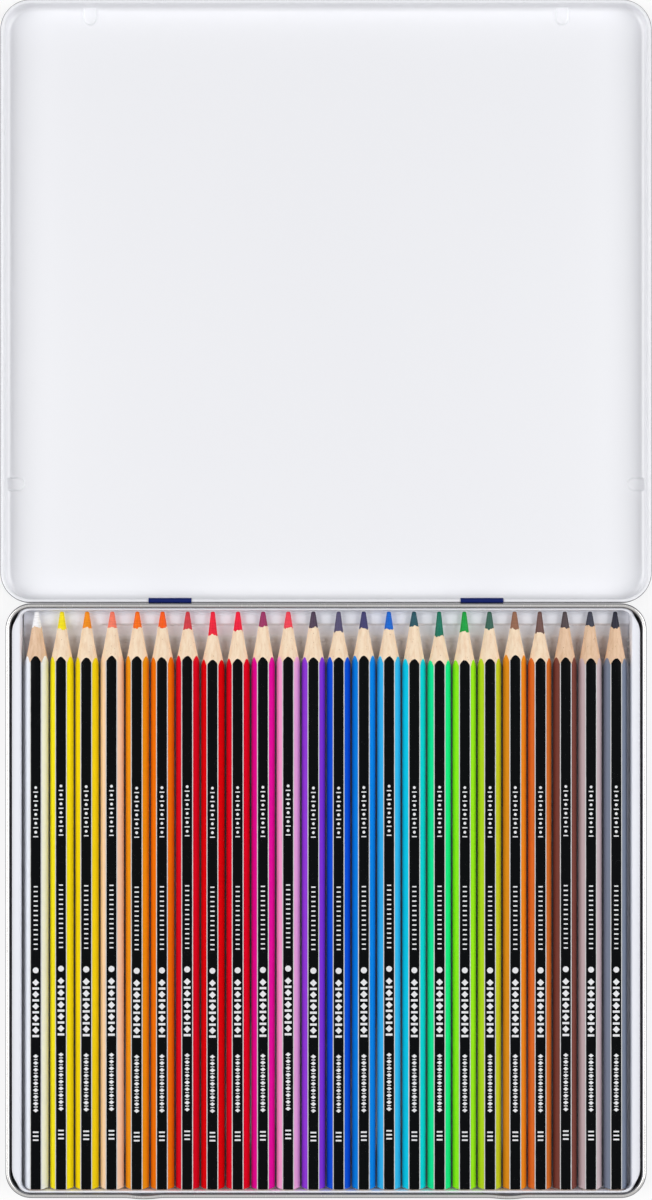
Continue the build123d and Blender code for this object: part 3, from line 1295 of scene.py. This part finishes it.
@dataclass
class Tray:
    """The formed tray: a flanged frame and a ridged floor."""

    flange: Rim = Rim(95.14, 88.39, 7.4)
    cavity: Rim = Rim(92.56, 87.9, 2.3)
    side_marks: tuple[float, ...] = (-40.0, 0.0, 40.0)
    sheet: float = 0.4
    top_z: float = 6.6
    floor_z: float = 0.7
    draft: float = 0.035
    edge_radius: float = 0.45
    edge_steps: int = 6
    lip: float = 0.12
    wall_overlap: float = 0.25
    floor_gap: float = 0.1
    floor_thinning: float = 0.02
    pitch: float = PITCH
    ridge_half: float = 1.85
    ridge_height: float = 2.1
    ridge_slope: float = 1.73
    ridge_end_y: float = 73.0
    ridge_blend: float = 0.4
    step_y: float = 79.0
    step_height: float = 0.6
    ledge_y: float = 83.2
    ledge_height: float = 1.5
    step_slope: float = 8.0
    step_blend: float = 0.3
    foot_blend: float = 0.2
    grid_lines: tuple[float, ...] = (70.0, 78.6, 84.0)
    grid_rows: tuple[int, ...] = (3, 20, 28, 3)
    grid_columns: int = 601
    sharp_angle: float = 50.0

    def frame_lines(self) -> list[tuple[float, float, float]]:
        """Draw the frame's section.

        Returns:
            For each point, 1 on the flange's line and 0 on the cavity's, its outward distance
            from that line and its height.
        """
        radius, sheet, top = self.edge_radius, self.sheet, self.top_z
        low = self.floor_z - self.wall_overlap
        centre = (radius, top - radius)
        lines = [(0.0, -self.draft * (top - low), low)]
        lines += [(0.0, out, z) for out, z in arc(centre, radius, 180, 90, self.edge_steps)]
        lines += [(1.0, -self.lip, top), (1.0, 0.0, top - self.lip), (1.0, 0.0, top - sheet)]
        under = arc(centre, radius - sheet / 2, 90, 180, self.edge_steps)
        lines += [(0.0, out + sheet, z - sheet) for out, z in under]
        lines += [(0.0, sheet - self.draft * (top - low), low)]
        return lines

    def build_frame(self, finish: Material) -> None:
        """Build the flange and the drafted walls.

        Args:
            finish: The tray's finish.
        """
        marks = {side: self.side_marks for side in Side}
        skin = Skin()
        rows = []
        for wall, rim in zip(self.cavity.places(marks), self.flange.places(marks)):
            places = [
                (rim if share else wall).point(out, z) for share, out, z in self.frame_lines()
            ]
            rows.append(skin.row(places))
        for row, other in zip(rows, (*rows[1:], rows[0])):
            skin.strip((*row, row[0]), (*other, other[0]))
        piece = skin.piece("tray_frame", (finish,))
        settle(piece, "tray", "white_formed_plastic", "insert_tray")

    def floor_sizes(self) -> dict[str, float]:
        """Name the ridged floor's sizes and the lines between its grids.

        Returns:
            The sizes by the name of the tree's input.
        """
        between = zip(("Ridge Ends", "Steps Begin", "Steps End"), self.grid_lines)
        return {
            "Pitch": self.pitch, "Ridge Half Width": self.ridge_half,
            "Ridge Height": self.ridge_height, "Ridge End": self.ridge_end_y,
            "Ledge Start": self.ledge_y, "Ledge Height": self.ledge_height,
            "Step Start": self.step_y, "Step Height": self.step_height,
            "Floor Height": self.floor_z, "Half Width": self.cavity.half_x - self.floor_gap,
            "Front End": self.floor_gap - self.cavity.half_y,
            "Rear End": self.cavity.half_y - self.floor_gap,
            **dict(between),
        }

    def floor_grids(self, recipe: Recipe, value: dict[str, Wire]) -> Node:
        """Lay four flat grids end to end, with more rows where the ridges end and the steps rise.

        Args:
            recipe: The floor's tree.
            value: The tree's inputs by name.

        Returns:
            The node of the merged grids.
        """
        width = value["Half Width"] * 2
        lines = ("Front End", "Ridge Ends", "Steps Begin", "Steps End", "Rear End")
        ends = [value[name] for name in lines]
        joined = recipe.node("GeometryNodeJoinGeometry")
        for start, end, rows in reversed([*zip(ends, ends[1:], self.grid_rows)]):
            grid = recipe.node("GeometryNodeMeshGrid", None, {
                "Size X": width, "Size Y": end - start,
                "Vertices X": self.grid_columns, "Vertices Y": rows,
            })
            middle = {"Y": (end + start) * 0.5}
            shift = recipe.node("ShaderNodeCombineXYZ", None, middle)
            placed = {"Geometry": grid, "Translation": shift}
            recipe.feed(joined.inputs[0], recipe.node("GeometryNodeTransform", None, placed))
        return recipe.node("GeometryNodeMergeByDistance", None, {"Geometry": joined})

    def floor_rise(self, recipe: Recipe, value: dict[str, Wire]) -> Wire:
        """Work out how far the floor rises: ridges, then a step and a ledge that blend.

        Args:
            recipe: The floor's tree.
            value: The tree's inputs by name.

        Returns:
            The rise over the flat floor.
        """
        x, y, _ = recipe.axes(recipe.node("GeometryNodeInputPosition"))
        away = abs(x - round(x / value["Pitch"]) * value["Pitch"])
        flank = (value["Ridge Half Width"] - away) * self.ridge_slope
        end = (value["Ridge End"] - y) * self.ridge_slope
        blend = self.ridge_blend * MM
        ridge = flank.low(end, blend).low(value["Ridge Height"], blend).high(0.0, blend)
        step, ledge = (
            ((y - value[f"{name} Start"]) * self.step_slope).low(
                value[f"{name} Height"], self.step_blend * MM
            )
            for name in ("Step", "Ledge")
        )
        foot = self.foot_blend * MM
        return ridge.high(step.high(0.0, foot).high(ledge, foot))

    def floor_tree(self, finish: Material) -> Tree:
        """Build the tree that makes the ridged floor.

        Args:
            finish: The tray's finish.

        Returns:
            The geometry tree, with its sizes as named inputs in metres.
        """
        sizes = {name: ("NodeSocketFloat", size * MM) for name, size in self.floor_sizes().items()}
        recipe, given = geometry_recipe("ridged_floor", sizes)
        value = {name: Wire(recipe, given.outputs[name]) for name in sizes}
        lift = {"Z": self.floor_rise(recipe, value) + value["Floor Height"]}
        height = recipe.node("ShaderNodeCombineXYZ", None, lift)
        grids = {"Geometry": self.floor_grids(recipe, value), "Offset": height}
        finish_tree(recipe, recipe.node("GeometryNodeSetPosition", None, grids), finish)
        return recipe.tree

    def build_floor(self, finish: Material) -> None:
        """Build the ridged floor as a plain mesh with its sheet's thickness.

        Args:
            finish: The tray's finish.
        """
        piece = grown("tray_floor", self.floor_tree(finish), {}, self.sharp_angle)
        wall = piece.modifiers.new("sheet", "SOLIDIFY")
        wall.thickness = (self.sheet - self.floor_thinning) * MM
        wall.offset = -1.0
        settle(piece, "tray", "white_formed_plastic", "insert_tray")

    def build(self, finish: Material) -> None:
        """Build the frame and the floor."""
        self.build_frame(finish)
        self.build_floor(finish)


# The pencils


@dataclass(frozen=True)
class PrintZone:
    """A row of equal foil marks along a barrel."""

    name: str
    shape: MarkShape
    first_y: float
    spacing: float
    count: int
    width: float
    length: float


# Each mark's corners, its radius when it is one wide, and its turn
MARK_OUTLINES = {
    MarkShape.BAR: (4, 0.7071, math.pi / 4),
    MarkShape.LOZENGE: (4, 0.5, 0.0),
    MarkShape.DOT: (14, 0.5, 0.0),
}
# The least share of its size that a worn mark keeps
SMALLEST_MARK = 0.92
FOIL_THICKNESS = 0.02
WELD_REACH = 0.001
PRINT_ZONES = (
    PrintZone("upper_dots", MarkShape.DOT, 34.4, 2.7, 6, 0.9, 0.9),
    PrintZone("upper_bars", MarkShape.BAR, 33.05, 2.7, 6, 1.5, 0.35),
    PrintZone("middle_bars", MarkShape.BAR, 4.4, 1.45, 14, 1.3, 0.4),
    PrintZone("bold_dot", MarkShape.DOT, -20.9, 3.0, 1, 1.9, 1.9),
    PrintZone("bold_lozenges", MarkShape.LOZENGE, -24.6, 3.6, 5, 2.2, 2.2),
    PrintZone("bold_bars", MarkShape.BAR, -26.4, 3.6, 5, 2.1, 0.7),
    PrintZone("lower_lozenges", MarkShape.LOZENGE, -46.9, 2.05, 9, 1.7, 1.3),
    PrintZone("lower_bars", MarkShape.BAR, -47.92, 2.05, 8, 1.2, 0.3),
    PrintZone("end_bars", MarkShape.BAR, -69.9, 1.2, 3, 1.8, 0.5),
)


@dataclass(frozen=True)
class PencilPlan:
    """What sets one pencil apart: its colours and how it was sharpened."""

    name: str
    barrel: Colour
    lead: Colour
    lead_length: float = 5.0
    wood_length: float = 8.6


PENCILS = (
    PencilPlan("white", srgb(246, 249, 255), srgb(252, 251, 252), 4.8, 8.7),
    PencilPlan("yellow", srgb(252, 235, 25), srgb(249, 230, 20), 5.4, 8.3),
    PencilPlan("golden_yellow", srgb(248, 222, 20), srgb(244, 144, 13), 5.0, 8.9),
    PencilPlan("peach", srgb(254, 222, 195), srgb(247, 126, 100), 4.9, 8.5),
    PencilPlan("light_orange", srgb(243, 158, 22), srgb(250, 112, 13), 5.0, 8.5),
    PencilPlan("orange", srgb(246, 130, 12), srgb(248, 92, 11), 4.9, 8.9),
    PencilPlan("crimson", srgb(225, 14, 40), srgb(210, 58, 68), 5.4, 8.0),
    PencilPlan("red", srgb(230, 9, 18), srgb(240, 24, 55), 7.2, 7.4),
    PencilPlan("carmine", srgb(232, 12, 38), srgb(243, 14, 57), 5.8, 8.5),
    PencilPlan("magenta", srgb(232, 13, 165), srgb(157, 49, 99), 4.6, 9.2),
    PencilPlan("pink", srgb(253, 182, 226), srgb(243, 66, 84), 5.0, 8.6),
    PencilPlan("violet", srgb(150, 64, 226), srgb(76, 60, 80), 4.9, 8.9),
    PencilPlan("blue", srgb(17, 92, 222), srgb(84, 78, 112), 6.1, 7.7),
    PencilPlan("mid_blue", srgb(17, 146, 235), srgb(62, 60, 108), 5.2, 8.2),
    PencilPlan("light_blue", srgb(60, 197, 245), srgb(9, 103, 209), 5.4, 8.2),
    PencilPlan("turquoise", srgb(19, 217, 236), srgb(38, 84, 96), 4.5, 9.8),
    PencilPlan("sea_green", srgb(27, 241, 156), srgb(14, 114, 90), 7.5, 7.3),
    PencilPlan("lime", srgb(165, 243, 35), srgb(10, 160, 62), 6.2, 8.5),
    PencilPlan("yellow_green", srgb(200, 223, 40), srgb(55, 98, 84), 5.3, 8.9),
    PencilPlan("ochre", srgb(243, 152, 35), srgb(147, 102, 78), 5.3, 7.9),
    PencilPlan("red_brown", srgb(229, 122, 48), srgb(111, 80, 75), 6.5, 7.6),
    PencilPlan("brown", srgb(130, 75, 66), srgb(79, 68, 70), 5.0, 8.9),
    PencilPlan("pinkish_grey", srgb(220, 198, 202), srgb(60, 62, 76), 4.4, 9.7),
    PencilPlan("slate_grey", srgb(130, 140, 160), srgb(36, 36, 50), 5.0, 9.1),
)


@dataclass(frozen=True)
class Ragged:
    """How an edge strays: how far, and how many waves each layer has round the axis."""

    reach: float
    lobes: tuple[int, ...]


@dataclass
class Pencil:
    """One hexagonal pencil, lying along +Y with a flat face up."""

    plan: PencilPlan
    number: int
    count: int
    pitch: float = PITCH
    length: float = 175.0
    across: float = 7.2
    axis_z: float = 3.818
    core_radius: float = 1.4
    bore_radius: float = 1.42
    mouth_radius: float = 1.50
    cone_flare: float = 0.0045
    face_crown: float = 0.02
    tip_radius: float = 0.62
    tip_round: tuple[Flat, ...] = ((0.97, 0.28), (0.80, 0.12), (0.45, 0.03))
    lead_cone_end: float = 0.25
    lead_stops: tuple[float, ...] = (0.0, 0.1, 0.3, 0.5, 0.7, 0.85, 0.95)
    lead_sides: int = 40
    lead_bevel: float = 0.1
    lead_wobble: Ragged = Ragged(0.02, (2, 5))
    wobble_start: float = 0.5
    rod_end: float = 0.9
    edge_radius: float = 0.13
    back_bevel: float = 0.35
    bevel_swell: Flat = (0.1, 0.08)
    flat_steps: int = 8
    edge_steps: int = 2
    barrel_stops: tuple[float, ...] = (-60.0, -20.0, 20.0, 60.0)
    cone_stops: tuple[float, ...] = (0.0, 0.04, 0.15, 0.35, 0.6, 0.8, 0.94, 1.0)
    lead_edge: Ragged = Ragged(0.28, (3, 7, 11))
    paint_edge: Ragged = Ragged(0.10, (5, 13, 19))
    thin_wood: float = 0.03
    mouth_lip: Flat = (0.015, 0.04)
    sharp_angle: float = 28.0
    halvings: int = 24
    print_stray: float = 0.35
    print_sharp_angle: float = 30.0

    def __post_init__(self) -> None:
        """Work out where the pencil lies and how its cone runs."""
        self.x = (self.number - (self.count + 1) / 2) * self.pitch
        self.apothem = self.across / 2 * math.cos(math.pi / 6)
        self.mouth_y = self.length / 2 - self.plan.lead_length
        wood = self.plan.wood_length
        self.slope = (self.apothem - self.mouth_radius) / wood - self.cone_flare * wood
        self.chance = random.Random(self.number)
        self.body = f"pencil_{self.number:02d}"
        self.node = f"{self.body}_{self.plan.name}"

    def cone_radius(self, y: float) -> float:
        """Return the wood cone's radius, which flares a little towards the barrel."""
        back = self.mouth_y - y
        return self.mouth_radius + self.slope * back + self.cone_flare * back * abs(back)

    def shoulder(self, radius: float) -> float:
        """Find where the cone has a radius, by halving the interval.

        Args:
            radius: The radius.

        Returns:
            The place along the pencil.
        """
        near, far = self.mouth_y - 2 * self.plan.wood_length, self.mouth_y
        for _ in range(self.halvings):
            middle = (near + far) / 2
            if self.cone_radius(middle) > radius:
                near = middle
            else:
                far = middle
        return far

    def outline(self) -> list[tuple[float, float, float]]:
        """Walk round the hexagon, from the right edge of the top face.

        Returns:
            For each column, its across and up distance from the axis and its place in faces.
        """
        sixth, half = math.pi / 3, math.pi / 6
        shrunk = self.across / 2 - self.edge_radius / math.cos(half)
        share = self.edge_radius * math.tan(half) / (self.across / 2)
        bends = [n / self.edge_steps for n in range(self.edge_steps + 1)]
        flats = [n / self.flat_steps for n in range(1, self.flat_steps + 1)]
        columns = [(0.0, n * half, n * share) for n in bends]
        columns += [(n, half, share + (1 - 2 * share) * n) for n in flats]
        columns += [(1.0, half + n * half, 1 - share + n * share) for n in bends[1:-1]]
        walk = []
        for face in range(6):
            turn = sixth * (face + 1)
            corner = (shrunk * math.cos(turn), shrunk * math.sin(turn))
            after = (shrunk * math.cos(turn + sixth), shrunk * math.sin(turn + sixth))
            for along, bend, place in columns:
                x = corner[0] + (after[0] - corner[0]) * along
                z = corner[1] + (after[1] - corner[1]) * along
                x += self.edge_radius * math.cos(turn + bend)
                z += self.edge_radius * math.sin(turn + bend)
                walk.append((x, z, face + place))
        return [self.crowned(*column) for column in walk]

    def crowned(self, across: float, up: float, place: float) -> tuple[float, float, float]:
        """Let a face fall away a little towards its edges."""
        share = 1 - self.face_crown * (2 * (place % 1) - 1) ** 2 / math.hypot(across, up)
        return (across * share, up * share, place)

    def jagged(self, edge: Ragged) -> Callable[[float], float]:
        """Return a ragged line round the axis, for the edge that the sharpener leaves.

        Args:
            edge: How far it strays and its waves.

        Returns:
            A function from an angle to a shift along the pencil.
        """
        layers = [
            (lobe, self.chance.uniform(0, math.tau), self.chance.uniform(0.5, 1) / n)
            for n, lobe in enumerate(edge.lobes, start=1)
        ]
        return lambda angle: edge.reach * sum(
            size * math.cos(lobe * angle + start) for lobe, start, size in layers
        )

    def ring_point(self, radius: float, angle: float, y: float) -> Point:
        """Return the point at a radius and an angle from the pencil's axis."""
        return (self.x + radius * math.cos(angle), y, self.axis_z + radius * math.sin(angle))

    def casing_column(self, radius: float, mouth: float, shoulder: float) -> list[Flat]:
        """Return one column of the casing, from the bore's back end round to the bore's mouth.

        Args:
            radius: The barrel's radius at this column.
            mouth: Where the lead comes out of the wood.
            shoulder: Where the cone meets the barrel.

        Returns:
            The column's points, as radius and place along the pencil.
        """
        back = -self.length / 2
        swell, rise = self.bevel_swell
        rows = [(self.bore_radius, back), (radius - self.back_bevel, back)]
        rows += [(radius - swell, back + rise), (radius, back + self.back_bevel)]
        rows += [(radius, y) for y in self.barrel_stops]
        for share in self.cone_stops:
            y = shoulder + (mouth - shoulder) * share
            cone = max(self.cone_radius(y), self.bore_radius + self.thin_wood)
            rows.append((min(radius, cone), y))
        lip, reach = self.mouth_lip
        return [*rows, (self.bore_radius + lip, mouth + reach), (self.bore_radius, mouth)]

    def build_casing(self, finishes: Sequence[Material]) -> None:
        """Build the casing: bevelled back end, barrel, cone and bore.

        Args:
            finishes: The barrel's lacquer and the wood.
        """
        lead_edge = self.jagged(self.lead_edge)
        paint_edge = self.jagged(self.paint_edge)
        skin = Skin()
        columns, maps = [], []
        for across, up, place in self.outline():
            radius, angle = math.hypot(across, up), math.atan2(up, across)
            mouth = self.mouth_y + lead_edge(angle)
            shoulder = self.shoulder(radius) + paint_edge(angle)
            rows = self.casing_column(radius, mouth, shoulder)
            columns.append(skin.row([self.ring_point(r, angle, y) for r, y in rows]))
            maps.append([(place, y * MM) for _, y in rows])
        lacquered = range(1, len(self.barrel_stops) + 4)
        maps.append([(place + 6, y) for place, y in maps[0]])
        for n, column in enumerate(columns):
            after = columns[(n + 1) % len(columns)]
            for row in range(len(column)):
                below = (row + 1) % len(column)
                corners = (column[row], column[below], after[below], after[row])
                flat = (maps[n][row], maps[n][below], maps[n + 1][below], maps[n + 1][row])
                paint = CasingPaint.LACQUER if row in lacquered else CasingPaint.WOOD
                skin.face(corners, paint, flat)
        piece = skin.piece(f"{self.node}_barrel", finishes, self.sharp_angle)
        settle(piece, self.body, f"{self.plan.name}_casing", f"{self.node}_casing")

    def lead_rings(self) -> list[Flat]:
        """Draw the lead: a rod in the bore and its sharp tip.

        Returns:
            For each ring, its radius and its place along the pencil.
        """
        tip, radius = self.length / 2, self.core_radius
        cone = tip - self.lead_cone_end - self.mouth_y
        rows = [(0.0, -tip), (radius - self.lead_bevel, -tip), (radius, self.lead_bevel - tip)]
        rows += [(radius, self.mouth_y - self.rod_end)]
        rows += [
            (radius + (self.tip_radius - radius) * share, self.mouth_y + cone * share)
            for share in self.lead_stops
        ]
        rows += [(self.tip_radius * share, tip - back) for share, back in self.tip_round]
        return [*rows, (0.0, tip)]

    def build_core(self, finish: Material) -> None:
        """Build the lead.

        Args:
            finish: The lead's finish.
        """
        skin = Skin()
        wobble = self.jagged(self.lead_wobble)
        angles = [math.tau * n / self.lead_sides for n in range(self.lead_sides)]
        rings = []
        for radius, y in self.lead_rings():
            if not radius:
                rings.append(skin.row([(self.x, y, self.axis_z)]) * self.lead_sides)
                continue
            free = y > self.mouth_y + self.wobble_start
            ring = [self.ring_point(radius + free * wobble(a), a, y) for a in angles]
            rings.append(skin.row(ring))
        for ring, following in zip(rings, rings[1:]):
            for n in range(self.lead_sides):
                after = (n + 1) % self.lead_sides
                corners = (ring[n], following[n], following[after], ring[after])
                skin.face(tuple(dict.fromkeys(corners)))
        piece = skin.piece(f"{self.node}_lead", (finish,))
        settle(piece, self.body, f"{self.plan.name}_core", f"{self.node}_core")

    def build_print(self, tree: Tree) -> None:
        """Grow the foil print on the top face.

        Args:
            tree: The print's geometry tree.
        """
        values = {
            "Centre X": self.x * MM,
            "Face Height": (self.axis_z + self.apothem) * MM,
            "Shift": self.chance.uniform(-self.print_stray, self.print_stray) * MM,
            "Seed": self.number,
        }
        piece = grown(f"{self.node}_print", tree, values, self.print_sharp_angle)
        settle(piece, self.body, f"{self.plan.name}_casing")


def zone_marks(recipe: Recipe, zone: PrintZone, seed: Socket) -> Node:
    """Lay one row of flat marks along the barrel.

    Args:
        recipe: The print's tree.
        zone: The row of marks.
        seed: What the marks' slight differences in size come from.

    Returns:
        The node of the marks.
    """
    line = recipe.node("GeometryNodeMeshLine", {"mode": "OFFSET", "label": zone.name}, {
        "Count": zone.count,
        "Start Location": (0, zone.first_y * MM, 0),
        "Offset": (0, -zone.spacing * MM, 0),
    })
    corners, radius, turn = MARK_OUTLINES[zone.shape]
    outline = {"Vertices": corners, "Radius": radius}
    mark = recipe.node("GeometryNodeMeshCircle", {"fill_type": "NGON"}, outline)
    turned = {"Geometry": mark, "Rotation": (0.0, 0.0, turn)}
    worn = recipe.node(
        "FunctionNodeRandomValue", {"data_type": "FLOAT"},
        {2: SMALLEST_MARK, 3: 1.0, "Seed": seed},
    )
    size = recipe.node("ShaderNodeVectorMath", {"operation": "SCALE"}, {
        0: (zone.width * MM, zone.length * MM, MM), "Scale": worn.outputs[1],
    })
    shaped = recipe.node("GeometryNodeTransform", None, turned)
    placed = {"Points": line, "Instance": shaped, "Scale": size}
    return recipe.node("GeometryNodeInstanceOnPoints", None, placed)


def print_tree(zones: Sequence[PrintZone], foil: Material) -> Tree:
    """Build the tree that lays the foil marks along a barrel.

    Args:
        zones: The rows of marks.
        foil: The foil's finish.

    Returns:
        The geometry tree.
    """
    recipe, given = geometry_recipe("foil_print", {
        "Centre X": ("NodeSocketFloat", 0.0),
        "Face Height": ("NodeSocketFloat", 0.0),
        "Shift": ("NodeSocketFloat", 0.0),
        "Foil Thickness": ("NodeSocketFloat", FOIL_THICKNESS * MM),
        "Seed": ("NodeSocketInt", 1),
    })
    joined = recipe.node("GeometryNodeJoinGeometry")
    for zone in zones:
        recipe.feed(joined.inputs[0], zone_marks(recipe, zone, given.outputs["Seed"]))
    whole = recipe.node("GeometryNodeRealizeInstances", None, {"Geometry": joined})
    raised = recipe.node("GeometryNodeExtrudeMesh", {"mode": "FACES"}, {
        "Mesh": whole, "Offset": (0, 0, 1), "Individual": False,
        "Offset Scale": given.outputs["Foil Thickness"],
    })
    under = recipe.node("GeometryNodeFlipFaces", None, {"Mesh": whole})
    closed = recipe.node("GeometryNodeJoinGeometry", None, {0: raised})
    recipe.feed(closed.inputs[0], under)
    near = {"Geometry": closed, "Distance": WELD_REACH * MM}
    sealed = recipe.node("GeometryNodeMergeByDistance", None, near)
    centre = ("X", "Centre X"), ("Y", "Shift"), ("Z", "Face Height")
    seat = recipe.node(
        "ShaderNodeCombineXYZ", None, {axis: given.outputs[name] for axis, name in centre}
    )
    seated = {"Geometry": sealed, "Translation": seat}
    finish_tree(recipe, recipe.node("GeometryNodeTransform", None, seated), foil)
    return recipe.tree


@dataclass
class PencilRow:
    """All the pencils, in the order of their colours."""

    plans: Sequence[PencilPlan] = PENCILS
    pale_wood: CompositeWood = CompositeWood()
    deep_wood: CompositeWood = CompositeWood(
        "deep_wood", (0.80, 0.56, 0.38), (0.68, 0.44, 0.27), (0.34, 0.19, 0.11)
    )
    in_deep_wood: tuple[int, ...] = (1, 22, 23, 24)

    def build(self) -> None:
        """Build each pencil's casing, lead and print."""
        pale, deep = self.pale_wood.material(), self.deep_wood.material()
        tree = print_tree(PRINT_ZONES, FoilPrint().material())
        for number, plan in enumerate(self.plans, start=1):
            pencil = Pencil(plan, number, len(self.plans))
            wood = deep if number in self.in_deep_wood else pale
            pencil.build_casing((BarrelLacquer(plan.name, plan.barrel).material(), wood))
            pencil.build_core(WaxyLead(plan.name, plan.lead).material())
            pencil.build_print(tree)


# Studio


@dataclass
class Studio:
    """A plain pale floor, soft light and the camera straight above. Its sizes are in metres."""

    camera_y: float = 0.091
    camera_z: float = 0.806
    lens: float = 79.2
    sensor_width: float = 36.0
    clip_start: float = 0.01
    lamp_x: float = 0.892
    lamp_z: float = 0.803
    lamp_size: Flat = (1.1, 0.95)
    lamp_power: float = 11.5
    world_tint: Colour = (0.97, 0.98, 1.0)
    world_strength: float = 0.11
    floor_reach: float = 3.0
    floor_z: float = -0.0003
    floor_tone: float = 0.8
    seen_tone: float = 0.25
    seen_glow: float = 0.775

    def seen(self, recipe: Recipe) -> Wire:
        """Tell what the camera sees, itself or in metal or glass.

        Args:
            recipe: The tree of the floor or the world.

        Returns:
            1 for a ray from the camera and 0 for the others.
        """
        path = recipe.node("ShaderNodeLightPath")
        names = ("Is Camera Ray", "Is Glossy Ray", "Is Transmission Ray")
        camera, glossy, clear = (Wire(recipe, path.outputs[name]) for name in names)
        return (camera + glossy + clear).low(1.0)

    def build_floor(self) -> None:
        """Lay the floor under the tin. Where it is seen, it is white but for the tin's shadow."""
        mesh = bpy.data.meshes.new("floor")
        ends = (-self.floor_reach, self.floor_reach)
        corners = [(x, y, self.floor_z) for y in ends for x in ends]
        mesh.from_pydata(corners, [], [(0, 1, 3, 2)])
        paint = Paint("pale_floor")
        plain, shaded = (
            paint.node("ShaderNodeBsdfDiffuse", None, {"Color": toned((1, 1, 1), tone)})
            for tone in (self.floor_tone, self.seen_tone)
        )
        glowing = {"Color": (1, 1, 1), "Strength": self.seen_glow}
        glow = paint.node("ShaderNodeEmission", None, glowing)
        white = paint.node("ShaderNodeAddShader", None, {0: shaded, 1: glow})
        mixed = paint.node("ShaderNodeMixShader", None, {0: self.seen(paint), 1: plain, 2: white})
        paint.node("ShaderNodeOutputMaterial", None, {"Surface": mixed})
        mesh.materials.append(paint.material)
        show(bpy.data.objects.new("floor", mesh))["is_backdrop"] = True

    def build_world(self) -> None:
        """Fill the room with weak even light, in front of a white backdrop."""
        world = bpy.data.worlds.new("room")
        world.use_nodes = True
        recipe = Recipe(world.node_tree)
        plain, white = (
            recipe.node("ShaderNodeBackground", None, {"Color": tint, "Strength": strength})
            for tint, strength in ((self.world_tint, self.world_strength), ((1, 1, 1), 1.0))
        )
        mixed = recipe.node(
            "ShaderNodeMixShader", None, {0: self.seen(recipe), 1: plain, 2: white}
        )
        recipe.node("ShaderNodeOutputWorld", None, {"Surface": mixed})
        bpy.context.scene.world = world

    def build_lamp(self, name: str, side: int) -> None:
        """Hang one soft lamp beside the tin, pointing at the tin's middle.

        Args:
            name: The lamp's name.
            side: -1 for the left and 1 for the right.
        """
        data = bpy.data.lights.new(name, "AREA")
        data.shape = "RECTANGLE"
        data.size, data.size_y = self.lamp_size
        data.energy = self.lamp_power
        lamp = show(bpy.data.objects.new(name, data))
        lamp.location = (side * self.lamp_x, self.camera_y, self.lamp_z)
        aim = lamp.location.copy()
        aim.xyz = (0.0, self.camera_y, 0.0)
        lamp.rotation_euler = (aim - lamp.location).to_track_quat("-Z", "Y").to_euler()

    def build_camera(self) -> None:
        """Set the camera straight above the tin."""
        data = bpy.data.cameras.new("camera")
        data.lens = self.lens
        data.sensor_width = self.sensor_width
        data.clip_start = self.clip_start
        camera = show(bpy.data.objects.new("camera", data))
        camera.location = (0.0, self.camera_y, self.camera_z)
        bpy.context.scene.camera = camera

    def build(self) -> None:
        """Build the floor, the light and the camera."""
        bpy.context.scene.view_settings.view_transform = "Standard"
        self.build_floor()
        self.build_world()
        self.build_lamp("left_lamp", -1)
        self.build_lamp("right_lamp", 1)
        self.build_camera()


def write_sizes() -> None:
    """Put the CAD model's box and the dressed model's box into plain lists, which are not kept."""
    boxes = {"cad": cad_box, "visual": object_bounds()}
    plain = {name: [list(corner) for corner in box] for name, box in boxes.items()}


def main() -> None:
    """Build every part of the tin, then the studio."""
    logging.basicConfig(level=logging.INFO, format="%(name)s: %(message)s")
    log.info("%d bodies in the frame", len(frame["bodies"]))
    tinplate = Tinplate().material()
    navy = NavyLacquer().material()
    # Dark steel as painted shade on the rolls' flanks and the base's inner wall.
    flank = PaintedShadeSteel().material()
    BaseTin().build((tinplate, navy, flank))
    Lid().build((WhiteLacquer().material(), navy, flank))
    Tray().build(FormedPlastic().material())
    PencilRow().build()
    Studio().build()
    write_sizes()


if __name__ == "__main__":
    main()
